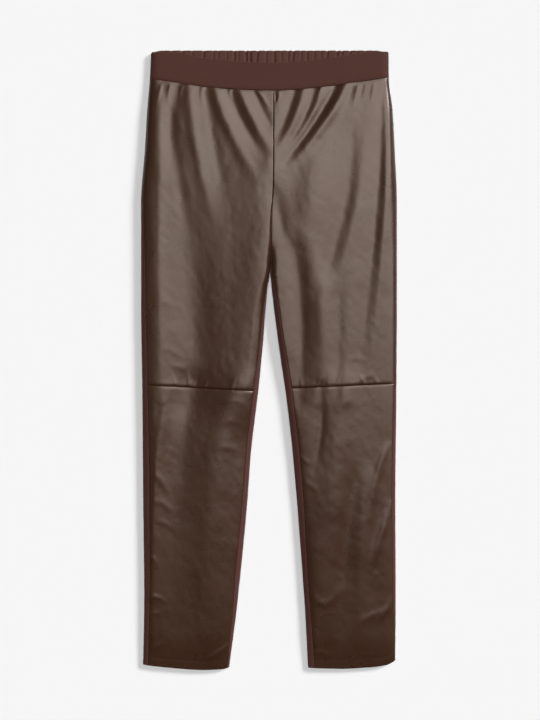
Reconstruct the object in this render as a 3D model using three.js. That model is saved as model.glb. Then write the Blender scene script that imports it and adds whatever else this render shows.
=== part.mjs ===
// Women's slim trousers with a faux leather front and a jersey back, laid flat with the front up.
// Millimetres. X runs across the garment, Y from the hems up to the waist, Z up from the table.
// The origin is the middle of the outline, on the table. Left and right are the viewer's.
// Each leg is a flattened tube: the jersey back lies on the table, wraps round both edges of the
// leg and meets the faux leather front on top. Every cloth piece is a closed wall of its own.
import * as THREE from "three";

// Driving dimensions
const LENGTH = 1005; // back waist edge to the lowest point of the hems
const HIP_WIDTH = 415; // widest part, laid flat
const LEATHER_WALL = 1.2; // coated cloth
const JERSEY_WALL = 1.2;
const BAND_WALL = 2.4; // front waistband, folded double
const ELASTIC_WALL = 3.2; // back waistband, folded round its elastic
const HEM_DEPTH = 14; // turned-up hem
const SEAM_GAP = 0.3;

// Levels along Y
const TOP = LENGTH / 2;
const HEM = -LENGTH / 2;
const CROTCH = 240;
const FORK = 147; // the inner thighs touch from the crotch down to here

// The flattened tube
const FOLD_HEIGHT = 4.5; // height of the side folds above the table
const FOLD_ROLL = 5; // how far a fold rolls in before the cloth lies on the table
const GROOVE_WIDTH = 3; // rounded edge of the centre front seam
const GROOVE_DEPTH = 1.2;
const CLEFT_RISE = 50; // above the crotch the cleft narrows to the seam over this distance
const SEAT_RISE = 22; // and the centre back rises to it over this one
const SEAM_SINK = 0.9; // depth of the crossways seams
const SEAM_SOFTNESS = 3; // and how far the cloth rounds down into them

// Side edges of the outline, in X
const SIDE_EDGES = [
  { y: TOP, left: -191, right: 194 },
  { y: 455, left: -193.5, right: 194.5 },
  { y: 405, left: -197.5, right: 200.5 },
  { y: 340, left: -201.5, right: 204 },
  { y: 255, left: -HIP_WIDTH / 2, right: HIP_WIDTH / 2 },
  { y: 100, left: -HIP_WIDTH / 2, right: HIP_WIDTH / 2 },
  { y: -65, left: -205.5, right: 206.5 },
  { y: -230, left: -204, right: 205 },
  { y: -390, left: -202.5, right: 205.5 },
  { y: HEM, left: -204.5, right: 204.5 },
];

// The line between the legs, and how far apart they lie
const BETWEEN_LEGS = [
  { y: TOP, middle: 7.5, apart: 0 },
  { y: 300, middle: 7.2, apart: 0 },
  { y: CROTCH, middle: 4.6, apart: 0 },
  { y: FORK, middle: 2, apart: 0.2 },
  { y: 115, middle: 0.9, apart: 7.2 },
  { y: 16, middle: 3.1, apart: 27.5 },
  { y: -65, middle: 4.7, apart: 47.7 },
  { y: -146, middle: 4.5, apart: 66.6 },
  { y: -230, middle: 5.1, apart: 80.4 },
  { y: -390, middle: 3.3, apart: 108.2 },
  { y: HEM, middle: -0.8, apart: 128.7 },
];

// Where the side seam and the inside leg seam lie on the folds, in degrees up from the fold's
// outermost line; a minus sign puts the seam underneath
const LEFT_SEAMS = [
  { y: 455, side: -35, inside: 0 },
  { y: 340, side: 0, inside: 0 },
  { y: CROTCH, side: 28, inside: 0 },
  { y: FORK, side: 42, inside: 10 },
  { y: 80, side: 46, inside: 30 },
  { y: -30, side: 50, inside: 46 },
  { y: -200, side: 56, inside: 53 },
  { y: -330, side: 55, inside: 55 },
  { y: -420, side: 55, inside: 45 },
  { y: HEM, side: 57, inside: 34 },
];
const RIGHT_SEAMS = [
  { y: 455, side: -40, inside: 0 },
  { y: CROTCH, side: -25, inside: 0 },
  { y: FORK, side: -15, inside: 37 },
  { y: 80, side: -8, inside: 74 },
  { y: 20, side: 2, inside: 74 },
  { y: -30, side: 26, inside: 74 },
  { y: -85, side: 38, inside: 69 },
  { y: -200, side: 42, inside: 66 },
  { y: -350, side: 40, inside: 54 },
  { y: -420, side: 31, inside: 57 },
  { y: HEM, side: 4, inside: 66 },
];

// Height of the front above the table, before its folds, and how far in from a side fold or from
// the inner fold of each leg the front reaches it
const FRONT_HEIGHTS = [
  { y: TOP, z: 12.6, shoulder: 13, leftInner: 13, rightInner: 13 },
  { y: 455, z: 13.2, shoulder: 15, leftInner: 15, rightInner: 15 },
  { y: 390, z: 16.5, shoulder: 17, leftInner: 9, rightInner: 9 },
  { y: CROTCH, z: 17.5, shoulder: 22, leftInner: 7, rightInner: 8 },
  { y: FORK, z: 17.2, shoulder: 23.5, leftInner: 9, rightInner: 11 },
  { y: 60, z: 16.8, shoulder: 24, leftInner: 20, rightInner: 11.5 },
  { y: 0, z: 16.5, shoulder: 24, leftInner: 21, rightInner: 14 },
  { y: -300, z: 14.5, shoulder: 22, leftInner: 20, rightInner: 19 },
  { y: HEM, z: 13, shoulder: 18, leftInner: 18, rightInner: 18 },
];

// The waistband's upper edge in front, and the waist seam under it
const FRONT_WAIST = [
  { x: -192, top: 498.5, seam: 456 },
  { x: -153, top: 498, seam: 450 },
  { x: -106, top: 489, seam: 443 },
  { x: -42, top: 483, seam: 438 },
  { x: 7.5, top: 481, seam: 436.7 },
  { x: 50, top: 483.5, seam: 438.7 },
  { x: 97, top: 489, seam: 444 },
  { x: 140, top: 496, seam: 450 },
  { x: 161, top: 499, seam: 452.7 },
  { x: 194.5, top: 499.5, seam: 458 },
];

// Hem edges of the two legs
const HEM_EDGES = {
  left: [
    { x: -205, y: -494 },
    { x: -165, y: -498.5 },
    { x: -105, y: HEM },
    { x: -75, y: -501 },
    { x: -60, y: -497.5 },
  ],
  right: [
    { x: 60, y: -499 },
    { x: 115, y: -500.5 },
    { x: 165, y: -498 },
    { x: 190, y: -494.5 },
    { x: 206, y: -487 },
  ],
};

// Folds of the front: a run across the cloth, a half width, and heights at its start, middle and
// end. A plus height is a ridge and a minus height a trough.
const FOLDS = [
  // left hip: drag lines that fan out from the centre front up to the waistband
  { from: [-143, 447], via: [-159, 381], to: [-156, 295], width: 10, heights: [-0.8, -1.5, 0] },
  { from: [-130, 447], via: [-118, 348], to: [-91, 219], width: 10, heights: [1.5, 1.9, 0] },
  { from: [-102, 447], via: [-91, 364], to: [-70, 251], width: 10, heights: [-1, -1.5, 0] },
  { from: [-89, 447], via: [-63, 373], to: [-11, 275], width: 10, heights: [1.7, 2.4, 0] },
  // right hip: the same fan
  { from: [126, 450], via: [96, 392], to: [24, 301], width: 9, heights: [2.2, 3, 0] },
  // left thigh: a crest by each edge and a long hollow between them
  { from: [-177, 428], via: [-177, 194], to: [-175, -65], width: 9, heights: [0.8, 1.5, 1] },
  { from: [-157, 389], via: [-147, 300], to: [-128, 186], width: 12, heights: [-0.6, -1.6, 0] },
  { from: [-143, 292], via: [-117, 113], to: [-117, -65], width: 27, heights: [0, -4.4, -2.6] },
  { from: [-28, 356], via: [-32, 194], to: [-47, -65], width: 26, heights: [0.6, 3.8, 2.4] },
  // right thigh
  { from: [3, 292], via: [15, 243], to: [24, 186], width: 10, heights: [0, -1.9, 0] },
  { from: [44, 300], via: [50, 243], to: [42, 178], width: 12, heights: [0, 1.3, 0] },
  { from: [131, 392], via: [122, 275], to: [102, 149], width: 13, heights: [0, -1.4, 0] },
  { from: [151, 392], via: [138, 275], to: [122, 149], width: 13, heights: [0, 1.3, 0] },
  { from: [180, 447], via: [175, 275], to: [144, -19], width: 9, heights: [-0.4, -1.8, -0.3] },
  { from: [196, 447], via: [191, 259], to: [164, -23], width: 9, heights: [0.4, 1.7, 0.3] },
  { from: [44, 202], via: [52, 89], to: [50, -65], width: 14, heights: [0, -3.4, -1.6] },
  { from: [70, 202], via: [89, 89], to: [89, -65], width: 16, heights: [0, 2.8, 1.2] },
  { from: [133, 194], via: [131, 89], to: [125, -65], width: 12, heights: [0, 0.9, 1.2] },
  // left lower leg
  { from: [-170, -40], via: [-186, -194], to: [-190, -454], width: 9, heights: [1, 1.5, 0.3] },
  { from: [-130, -40], via: [-149, -194], to: [-144, -421], width: 20, heights: [-2.2, -2.4, 0] },
  { from: [-65, -40], via: [-87, -194], to: [-96, -454], width: 16, heights: [2, 2.8, 0.2] },
  // right lower leg
  { from: [86, -40], via: [86, -117], to: [73, -214], width: 10, heights: [-0.8, -2, 0] },
  { from: [118, -40], via: [105, -178], to: [76, -454], width: 12, heights: [1.6, 2.4, 0.4] },
  { from: [134, -149], via: [117, -284], to: [110, -454], width: 11, heights: [0, -1.8, 0] },
  { from: [154, -149], via: [143, -284], to: [139, -454], width: 11, heights: [0, 1.8, 0.2] },
];

// Back waistband gathers
const GATHERS = 26;
const GATHERED = { from: 178, to: -176 }; // the stretch that they fill, in X
const GATHER_GROOVE = 0.8; // depth of their grooves on the table side
const GATHER_FOLD = 1.2; // and on the inside

const mix = THREE.MathUtils.lerp;
const smooth = (value, low, high) => THREE.MathUtils.smoothstep(value, low, high);

// A smooth line through a table's rows that never runs past them; the rows are in order of `key`
function lineThrough(rows, key, value) {
  const sorted = [...rows].sort((a, b) => a[key] - b[key]);
  const at = sorted.map((row) => row[key]);
  const values = sorted.map((row) => row[value]);
  const slopes = at.slice(1).map((a, i) => (values[i + 1] - values[i]) / (a - at[i]));
  const tangents = at.map((_, i) => {
    if (i === 0 || i === at.length - 1) return slopes[Math.max(0, i - 1)];
    const [before, after] = [slopes[i - 1], slopes[i]];
    return before * after <= 0 ? 0 : (2 * before * after) / (before + after);
  });
  return (place) => {
    const p = THREE.MathUtils.clamp(place, at[0], at[at.length - 1]);
    const i = Math.max(0, at.findIndex((a) => a >= p) - 1);
    const span = at[i + 1] - at[i];
    const t = (p - at[i]) / span;
    const low = (1 + 2 * t) * (1 - t) ** 2 * values[i] + t * (1 - t) ** 2 * span * tangents[i];
    const high = t * t * (3 - 2 * t) * values[i + 1] - t * t * (1 - t) * span * tangents[i + 1];
    return low + high;
  };
}

const frontHeight = lineThrough(FRONT_HEIGHTS, "y", "z");
const outerShoulder = lineThrough(FRONT_HEIGHTS, "y", "shoulder");
const frontTop = lineThrough(FRONT_WAIST, "x", "top");
const frontSeam = lineThrough(FRONT_WAIST, "x", "seam");
const [SEAM_LEFT, SEAM_RIGHT] = [frontSeam(SIDE_EDGES[1].left), frontSeam(SIDE_EDGES[1].right)];
const backSeam = (x) => mix(SEAM_LEFT, SEAM_RIGHT, 0.5 + x / 388);
const kneeLevel = {
  left: (x) => -50.5 - 0.055 * (x + 17),
  right: (x) => -45.5 + 0.045 * (x - 40),
};
const hemLevel = {
  left: lineThrough(HEM_EDGES.left, "x", "y"),
  right: lineThrough(HEM_EDGES.right, "x", "y"),
};

// Folds as short straight stretches, each with its height worked out along the run
const FOLD_STEPS = 10;
const foldRuns = FOLDS.map(({ from, via, to, width, heights }) => {
  const bend = via.map((v, i) => 2 * v - (from[i] + to[i]) / 2);
  const run = new THREE.QuadraticBezierCurve(
    new THREE.Vector2(...from),
    new THREE.Vector2(...bend),
    new THREE.Vector2(...to),
  );
  return { points: run.getPoints(FOLD_STEPS), width, heights };
});

// Height that the folds add at a place on the front
function foldRelief(x, y) {
  let relief = 0;
  for (const { points, width, heights } of foldRuns) {
    let nearest = Infinity;
    let along = 0;
    for (let i = 0; i < FOLD_STEPS; i++) {
      const [a, b] = [points[i], points[i + 1]];
      const [dx, dy] = [b.x - a.x, b.y - a.y];
      const share = ((x - a.x) * dx + (y - a.y) * dy) / (dx * dx + dy * dy);
      const t = THREE.MathUtils.clamp(share, 0, 1);
      const away = Math.hypot(x - a.x - t * dx, y - a.y - t * dy);
      if (away < nearest) {
        nearest = away;
        along = (i + t) / FOLD_STEPS;
      }
    }
    const [start, middle, end] = heights;
    const height =
      start * (1 - along) * (1 - 2 * along) +
      middle * 4 * along * (1 - along) +
      end * along * (2 * along - 1);
    relief += height * Math.exp(-((nearest / width) ** 2));
  }
  return relief;
}

// The section of a flattened tube at level y. `place` runs round it: 0 to 1 is the inner shoulder,
// to 2 the front, to 3 the outer shoulder, to 4 the roll under it, to 5 the back, to 6 the inner
// roll, and past 6 the inner shoulder again.
const QUARTER_TURN = Math.PI / 2;
function tubePoint(tube, y, place) {
  const { side } = tube;
  const [outer, inner, front] = [tube.outer(y), tube.inner(y), frontHeight(y)];
  const shoulderOut = outer - side * outerShoulder(y);
  const shoulderIn = inner + side * tube.innerShoulder(y);
  const rollOut = outer - side * FOLD_ROLL;
  const rollIn = inner + side * tube.innerRoll(y);
  const w = place > 6 ? place - 6 : place;
  let x = 0;
  let z = 0;
  let raised = 0;
  if (w <= 1) {
    const round = tube.innerRoundness(y);
    const across = mix(w, 1 - Math.cos(w * QUARTER_TURN), round);
    const up = mix(1 - (1 - w) ** 2, Math.sin(w * QUARTER_TURN), round);
    x = mix(inner, shoulderIn, across);
    z = mix(tube.innerEnd(y), front, up);
    raised = mix(1 - round, 1, up);
  } else if (w <= 2) {
    x = mix(shoulderIn, shoulderOut, w - 1);
    z = front;
    raised = 1;
  } else if (w <= 3) {
    const turn = (3 - w) * QUARTER_TURN;
    x = mix(shoulderOut, outer, Math.cos(turn));
    z = mix(FOLD_HEIGHT, front, Math.sin(turn));
    raised = Math.sin(turn) ** 2;
  } else if (w <= 4) {
    const turn = (w - 3) * QUARTER_TURN;
    x = mix(rollOut, outer, Math.cos(turn));
    z = FOLD_HEIGHT * (1 - Math.sin(turn));
  } else if (w <= 5) {
    x = mix(rollOut, rollIn, w - 4);
  } else {
    const turn = (6 - w) * QUARTER_TURN;
    x = mix(rollIn, inner, Math.cos(turn));
    z = tube.innerUnder(y) * (1 - Math.sin(turn));
  }
  return new THREE.Vector3(x, y, z + raised * tube.relief(x, y));
}

// The directions along the section and out of the cloth at a place on the tube
function clothDirections(tube, y, place) {
  const [turn, rise] = [0.02, 0.5];
  const ahead = place <= 6 ? Math.min(place + turn, 6) : place + turn;
  const along = tubePoint(tube, y, ahead).sub(tubePoint(tube, y, place - turn)).normalize();
  const down = tubePoint(tube, y - rise, place).sub(tubePoint(tube, y + rise, place));
  const out = along.clone().cross(down).normalize().multiplyScalar(-tube.side);
  return { along, out };
}

// One side of the garment: half the hips above the crotch, and a whole leg below it
const betweenLegs = lineThrough(BETWEEN_LEGS, "y", "middle");
const legsApart = lineThrough(BETWEEN_LEGS, "y", "apart");
function legTube(name, side, seams) {
  const shoulder = lineThrough(FRONT_HEIGHTS, "y", `${name}Inner`);
  const frontSplit = (y) => smooth(y, CROTCH, CROTCH + CLEFT_RISE);
  const backSplit = (y) => smooth(y, CROTCH, CROTCH + SEAT_RISE);
  const narrowed = (y) => smooth(y, CROTCH - 30, CROTCH + CLEFT_RISE);
  // The fold on the inside of the thigh climbs from the fork to the crotch
  const innerFold = (y) => mix(FOLD_HEIGHT, frontHeight(y) - GROOVE_DEPTH, smooth(y, FORK, CROTCH));
  return {
    name,
    side,
    outer: lineThrough(SIDE_EDGES, "y", name),
    inner: (y) => betweenLegs(y) + (side * (legsApart(y) + SEAM_GAP)) / 2,
    innerShoulder: (y) => mix(shoulder(y), GROOVE_WIDTH, narrowed(y)),
    innerRoundness: (y) => 1 - frontSplit(y),
    innerEnd: innerFold,
    innerRoll: (y) => mix(FOLD_ROLL, 4 * FOLD_ROLL, backSplit(y)),
    innerUnder: (y) => mix(innerFold(y), 0, backSplit(y)),
    relief: foldRelief,
    sideSeam: lineThrough(seams, "y", "side"),
    insideSeam: lineThrough(seams, "y", "inside"),
  };
}

// The waistband as one tube from the left edge to the right edge. Its side seams lie under the
// folds, in line with the legs' side seams.
const BAND_LEFT = 3 - LEFT_SEAMS[0].side / 90;
const BAND_RIGHT = 6 + RIGHT_SEAMS[0].side / 90;
const bandTube = {
  side: -1,
  outer: lineThrough(SIDE_EDGES, "y", "left"),
  inner: lineThrough(SIDE_EDGES, "y", "right"),
  innerShoulder: outerShoulder,
  innerRoundness: () => 1,
  innerEnd: () => FOLD_HEIGHT,
  innerRoll: () => FOLD_ROLL,
  innerUnder: () => FOLD_HEIGHT,
  relief: () => 0,
};

const sidePlace = (leg, y) => 3 - leg.sideSeam(y) / 90;
const insidePlace = (leg, y) => (y >= CROTCH ? 0 : leg.insideSeam(y) / 90);

// Column places round the tube, as stretches of `count` columns, for each kind of panel
function columns(...stretches) {
  return stretches.flatMap(([from, to, count], which) => {
    const last = which === stretches.length - 1 ? count + 1 : count;
    return Array.from({ length: last }, (_, i) => mix(from, to, i / count));
  });
}

function frontPlaces(leg, y, across) {
  const [start, end] = [insidePlace(leg, y), sidePlace(leg, y)];
  return columns([start, 1, 3], [1, 2, across], [2, end, 4]);
}

function backPlaces(leg, y) {
  const [start, end] = [sidePlace(leg, y), 6 + insidePlace(leg, y)];
  return columns([start, 4, 6], [4, 5, 3], [5, end, 6]);
}

// A cloth piece: its outer face on the tube, row by row, and its inner face a wall inside it. A
// row's level depends on X, and X a little on the level, so each point is settled in a few passes.
const LEVEL_PASSES = 4;
function clothPiece(name, panel, material) {
  const { tube, rows, places, edgeGaps, sink, wall } = panel;
  const outer = [];
  const inner = [];
  for (const rowLevel of rows) {
    const last = places(rowLevel(0)).length - 1;
    const [outerLine, innerLine] = [[], []];
    for (let column = 0; column <= last; column++) {
      let level = rowLevel(0);
      for (let pass = 0; pass < LEVEL_PASSES; pass++) {
        level = rowLevel(tubePoint(tube, level, places(level)[column]).x);
      }
      const place = places(level)[column];
      const { along, out } = clothDirections(tube, level, place);
      const point = tubePoint(tube, level, place);
      point.z += sink(point);
      const [startGap, endGap] = edgeGaps(level);
      if (column === 0) point.addScaledVector(along, startGap);
      if (column === last) point.addScaledVector(along, -endGap);
      outerLine.push(point);
      innerLine.push(point.clone().addScaledVector(out, -wall(point)));
    }
    outer.push(outerLine);
    inner.push(innerLine);
  }
  const mesh = new THREE.Mesh(closedWall(outer, inner, tube.side), material);
  mesh.name = name;
  return mesh;
}

// Closes an outer and an inner grid of points into a wall
function closedWall(outer, inner, side) {
  const [rows, width] = [outer.length, outer[0].length];
  const [lastRow, lastColumn] = [rows - 1, width - 1];
  const index = [];
  const at = (row, column, layer) => (layer * rows + row) * width + column;
  const quad = (a, b, c, d) => index.push(...(side < 0 ? [a, b, c, a, c, d] : [a, c, b, a, d, c]));
  for (let r = 0; r < lastRow; r++) {
    for (let c = 0; c < lastColumn; c++) {
      quad(at(r, c, 0), at(r, c + 1, 0), at(r + 1, c + 1, 0), at(r + 1, c, 0));
      quad(at(r, c, 1), at(r + 1, c, 1), at(r + 1, c + 1, 1), at(r, c + 1, 1));
    }
  }
  for (let c = 0; c < lastColumn; c++) {
    quad(at(0, c + 1, 0), at(0, c, 0), at(0, c, 1), at(0, c + 1, 1));
    quad(at(lastRow, c, 0), at(lastRow, c + 1, 0), at(lastRow, c + 1, 1), at(lastRow, c, 1));
  }
  for (let r = 0; r < lastRow; r++) {
    quad(at(r, 0, 0), at(r + 1, 0, 0), at(r + 1, 0, 1), at(r, 0, 1));
    quad(at(r + 1, lastColumn, 0), at(r, lastColumn, 0), at(r, lastColumn, 1), at(r + 1, lastColumn, 1));
  }
  const positions = [...outer.flat(), ...inner.flat()].flatMap((p) => p.toArray());
  const geometry = new THREE.BufferGeometry();
  geometry.setAttribute("position", new THREE.Float32BufferAttribute(positions, 3));
  geometry.setIndex(index);
  geometry.computeVertexNormals();
  return geometry;
}

// Row places down a panel as distances from its top: close together at its ends, and a step that
// may depend on the level between them
function rowDistances(length, fromTop, fromBottom, step) {
  const lowest = length - fromBottom[fromBottom.length - 1];
  const between = [];
  let distance = fromTop[fromTop.length - 1];
  while (distance + 1.4 * step(distance) < lowest) {
    distance += step(distance);
    between.push(distance);
  }
  return [...fromTop, ...between, ...fromBottom.map((d) => length - d).reverse()];
}

// Rows run straight across, and ease into the curves of the edges above and below them
function rowLevels(topEdge, bottomEdge, high, low, distances) {
  return distances.map((distance) => (x) => {
    const share = distance / (high - low);
    const bend = (topEdge(x) - high) * (1 - share) ** 3 + (bottomEdge(x) - low) * share ** 3;
    return high - distance + bend;
  });
}

const WAIST = 455;
const KNEE = -50;
const HEM_ROWS = [0, 1.5, HEM_DEPTH - 1.5, HEM_DEPTH, HEM_DEPTH + 4];
const upperStep = (distance) => (distance < 165 ? 17 : distance < 285 ? 22 : distance < 345 ? 10 : 30);
const UPPER_DISTANCES = rowDistances(WAIST - KNEE, [0, 1.5, 5, 13], [0, 1.5, 5, 14], upperStep);
const LOWER_DISTANCES = rowDistances(KNEE - HEM, [0, 1.5, 5, 14], HEM_ROWS, () => 44);
const upperRows = (leg, waist) => rowLevels(waist, kneeLevel[leg.name], WAIST, KNEE, UPPER_DISTANCES);
const lowerRows = (leg) =>
  rowLevels(kneeLevel[leg.name], hemLevel[leg.name], KNEE, HEM, LOWER_DISTANCES);

// Draws the first and the last row back from a seam by half its gap
function besideSeams(rows, above, below) {
  const last = rows.length - 1;
  return rows.map((row, i) => (x) => {
    if (i === 0 && above) return row(x) - SEAM_GAP / 2;
    return i === last && below ? row(x) + SEAM_GAP / 2 : row(x);
  });
}

// Cloth is doubled below the hem's stitching
const hemWall = (leg, wall) => (point) =>
  point.y < hemLevel[leg.name](point.x) + HEM_DEPTH - 0.5 ? 2 * wall : wall;

// The upper side sinks a little along the crossways seams and the hem's stitching
const sinkAt = (distance, depth) => -depth * Math.exp(-((distance / SEAM_SOFTNESS) ** 2));
const onTop = (z) => smooth(z, FOLD_HEIGHT, 2 * FOLD_HEIGHT);
const STITCH_SINK = 0.4;
const legSink = (leg) => ({ x, y, z }) => {
  const seams = sinkAt(frontSeam(x) - y, SEAM_SINK) + sinkAt(y - kneeLevel[leg.name](x), SEAM_SINK);
  return onTop(z) * (seams + sinkAt(y - hemLevel[leg.name](x) - HEM_DEPTH, STITCH_SINK));
};

// Half the gap at a panel's two lengthways seams; above the crotch the tubes leave the centre's gap
const HALF_GAP = SEAM_GAP / 2;
const legGap = (y) => (y < CROTCH ? HALF_GAP : 0);

function frontUpper(leg, material) {
  const panel = {
    tube: leg,
    rows: besideSeams(upperRows(leg, frontSeam), true, true),
    places: (y) => frontPlaces(leg, y, 17),
    edgeGaps: (y) => [legGap(y), HALF_GAP],
    wall: () => LEATHER_WALL,
    sink: legSink(leg),
  };
  return clothPiece(`front_upper_${leg.name}`, panel, material);
}

function frontLower(leg, material) {
  const panel = {
    tube: leg,
    rows: besideSeams(lowerRows(leg), true, false),
    places: (y) => frontPlaces(leg, y, 12),
    edgeGaps: () => [HALF_GAP, HALF_GAP],
    wall: hemWall(leg, LEATHER_WALL),
    sink: legSink(leg),
  };
  return clothPiece(`front_lower_${leg.name}`, panel, material);
}

function back(leg, material) {
  const panel = {
    tube: leg,
    rows: besideSeams([...upperRows(leg, backSeam), ...lowerRows(leg).slice(1)], true, false),
    places: (y) => backPlaces(leg, y),
    edgeGaps: (y) => [HALF_GAP, legGap(y)],
    wall: hemWall(leg, JERSEY_WALL),
    sink: legSink(leg),
  };
  return clothPiece(`back_${leg.name}`, panel, material);
}

const BAND_ROWS = [0, 0.88, 0.96, 1];
function frontBand(material) {
  const seam = (x) => frontSeam(x) + SEAM_GAP / 2;
  const panel = {
    tube: bandTube,
    rows: BAND_ROWS.map((share) => (x) => mix(frontTop(x), seam(x), share)),
    places: () => columns([BAND_RIGHT, 6, 2], [6, 7, 5], [7, 8, 14], [8, 9, 5], [9, 6 + BAND_LEFT, 2]),
    edgeGaps: () => [HALF_GAP, HALF_GAP],
    wall: () => BAND_WALL,
    sink: ({ x, y, z }) => onTop(z) * sinkAt(y - seam(x), SEAM_SINK),
  };
  return clothPiece("waistband_front", panel, material);
}

// Gather grooves of the back waistband, unevenly spaced, as places between GATHERED's ends
const gatherWidth = (i) => 1 + 0.3 * Math.sin(2.4 * i) + 0.15 * Math.sin(5.1 * i + 1);
const gatherWidths = Array.from({ length: GATHERS }, (_, i) => gatherWidth(i));
const gatherTotal = gatherWidths.reduce((sum, width) => sum + width);
const gatherGrooves = [0];
for (const width of gatherWidths) {
  gatherGrooves.push(gatherGrooves[gatherGrooves.length - 1] + width / gatherTotal);
}

function backBand(material) {
  const top = (x) => mix(TOP, TOP - 2.5, smooth(Math.abs(x), 172, 190));
  const bandPlace = (y, x) => {
    const rollOut = bandTube.outer(y) + FOLD_ROLL;
    const rollIn = bandTube.inner(y) - FOLD_ROLL;
    return 4 + (x - rollOut) / (rollIn - rollOut);
  };
  const grooveX = gatherGrooves.map((share) => mix(GATHERED.to, GATHERED.from, share));
  const puff = [0, 0.25, 0.75]; // columns of the cloth between two grooves
  const columnX = grooveX.slice(1).flatMap((x, i) => puff.map((t) => mix(grooveX[i], x, t)));
  const inGroove = (x) => (grooveX.some((groove) => Math.abs(x - groove) < 0.3) ? 1 : 0);
  const panel = {
    tube: bandTube,
    rows: [0, 0.88, 1].map((share) => (x) => mix(top(x), backSeam(x) + SEAM_GAP / 2, share)),
    places: (y) => {
      const gathers = [...columnX, GATHERED.from].map((x) => bandPlace(y, x));
      return [...columns([BAND_LEFT, 4, 3]), ...gathers, ...columns([5, BAND_RIGHT, 3])];
    },
    edgeGaps: () => [HALF_GAP, HALF_GAP],
    wall: ({ x }) => {
      const full = mix(ELASTIC_WALL, BAND_WALL, smooth(Math.abs(x), 172, 188));
      return full - (GATHER_FOLD + GATHER_GROOVE) * inGroove(x);
    },
    sink: ({ x }) => GATHER_GROOVE * inGroove(x),
  };
  return clothPiece("waistband_back", panel, material);
}

const leather = () => new THREE.MeshStandardMaterial({ color: 0x4a382c, roughness: 0.42, metalness: 0 });
const jersey = () => new THREE.MeshStandardMaterial({ color: 0x4b2f2b, roughness: 0.9, metalness: 0 });
const bandJersey = () => new THREE.MeshStandardMaterial({ color: 0x52352f, roughness: 0.9, metalness: 0 });

const legs = [legTube("left", -1, LEFT_SEAMS), legTube("right", 1, RIGHT_SEAMS)];

const trousers = new THREE.Group();
trousers.name = "trousers";
for (const leg of legs) {
  trousers.add(frontUpper(leg, leather()), frontLower(leg, leather()), back(leg, jersey()));
}
trousers.add(frontBand(bandJersey()), backBand(bandJersey()));

export default trousers;
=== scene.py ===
"""Women's slim trousers with a faux leather front and a jersey back, laid flat with the front up.

The tables are in millimetres, in the garment's frame: X across it to the viewer's right, Y from
the hems up to the waist, and Z up from the table. The meshes are in metres. Left and right are
the viewer's. Each leg is a flattened tube, and a panel is a part of its section: a thin wall with
turned seam edges, shaped by the listed folds and creases.
"""

from types import SimpleNamespace

import bpy
import numpy as np
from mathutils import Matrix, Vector


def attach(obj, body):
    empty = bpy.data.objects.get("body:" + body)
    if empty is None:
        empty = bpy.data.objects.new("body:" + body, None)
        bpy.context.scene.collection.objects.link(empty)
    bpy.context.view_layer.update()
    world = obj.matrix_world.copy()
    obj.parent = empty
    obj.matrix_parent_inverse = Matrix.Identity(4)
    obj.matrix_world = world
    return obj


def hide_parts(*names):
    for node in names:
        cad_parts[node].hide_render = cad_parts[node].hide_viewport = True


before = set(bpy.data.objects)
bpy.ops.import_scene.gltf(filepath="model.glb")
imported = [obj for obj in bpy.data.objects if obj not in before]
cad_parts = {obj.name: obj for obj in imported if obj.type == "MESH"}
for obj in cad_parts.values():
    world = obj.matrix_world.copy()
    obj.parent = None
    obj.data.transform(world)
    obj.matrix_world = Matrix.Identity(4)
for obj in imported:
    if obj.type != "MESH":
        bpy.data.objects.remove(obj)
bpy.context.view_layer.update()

MM = 0.001

# Driving dimensions
LENGTH = 1005  # back waist edge to the lowest point of the hems
HIP_WIDTH = 415  # widest part, laid flat
LEATHER_WALL = 1.0  # coated cloth
JERSEY_WALL = 1.0
BAND_WALL = 2.4  # front waistband, folded double
ELASTIC_WALL = 3.2  # back waistband, folded round its elastic
HEM_DEPTH = 14  # turned-up hem
HEM_THICKNESS = 2.2  # of the hem, in walls of its cloth

# Levels along Y
TOP = LENGTH / 2
HEM = -LENGTH / 2
WAIST = 455  # waist seam at the sides
KNEE = -50  # about where the knee seams lie
CROTCH = 240
FORK = 147  # the inner thighs touch from the crotch down to here

# The flattened tube
FOLD_HEIGHT = 4.5  # height of the side folds above the table
FOLD_ROLL = 5  # how far a fold rolls in before the cloth lies on the table
GROOVE_WIDTH = 2  # rounded edge of the centre front seam
GROOVE_DEPTH = 0.5
CLEFT_START = 30  # from this far below the crotch the cleft narrows to the seam
CLEFT_RISE = 18  # and it ends this far above the crotch
CLIMB_END = 45  # this far below the crotch the inner folds are as high as the front
SEAT_RISE = 22  # the centre back rises to the seam over this distance above the crotch
FOLD_SPILL = 80  # and the front's folds reach over the centre seam after this one

# Making-up of the cloth
FRONT_SPACING = 2.1  # between the points of a front panel
BACK_SPACING = 3.3
BAND_SPACING = 2.2
GATHER_SPACING = 0.9  # between the points of the gathered back waistband
SEAM_EDGE = 1.0  # radius of a turned seam edge
SEAM_TURNING = 7  # width of the turning pressed back behind it
SEAM_THICKNESS = 2.2
FOLD_ROUNDNESS = 0.97  # of a half round, at the edge of a hem or a waistband
STITCH_LENGTH = 3
STITCH_SHARE = 0.86  # of its length that a stitch shows before it dips into the cloth
THREAD = 0.45
LAID_CLOSE = 0.03  # half the gap between two turned edges
EDGE_STEPS = np.array([LAID_CLOSE, 0.12, 0.3, 0.6, 1.0, 1.6, 2.6])  # points by a panel's edge
SHARP_ANGLE = 1.1  # radians between faces that shade as an edge


def table(names, *rows):
    """A short table as one array for each named column."""
    return dict(zip(names.split(), np.array(rows, float).T))


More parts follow.
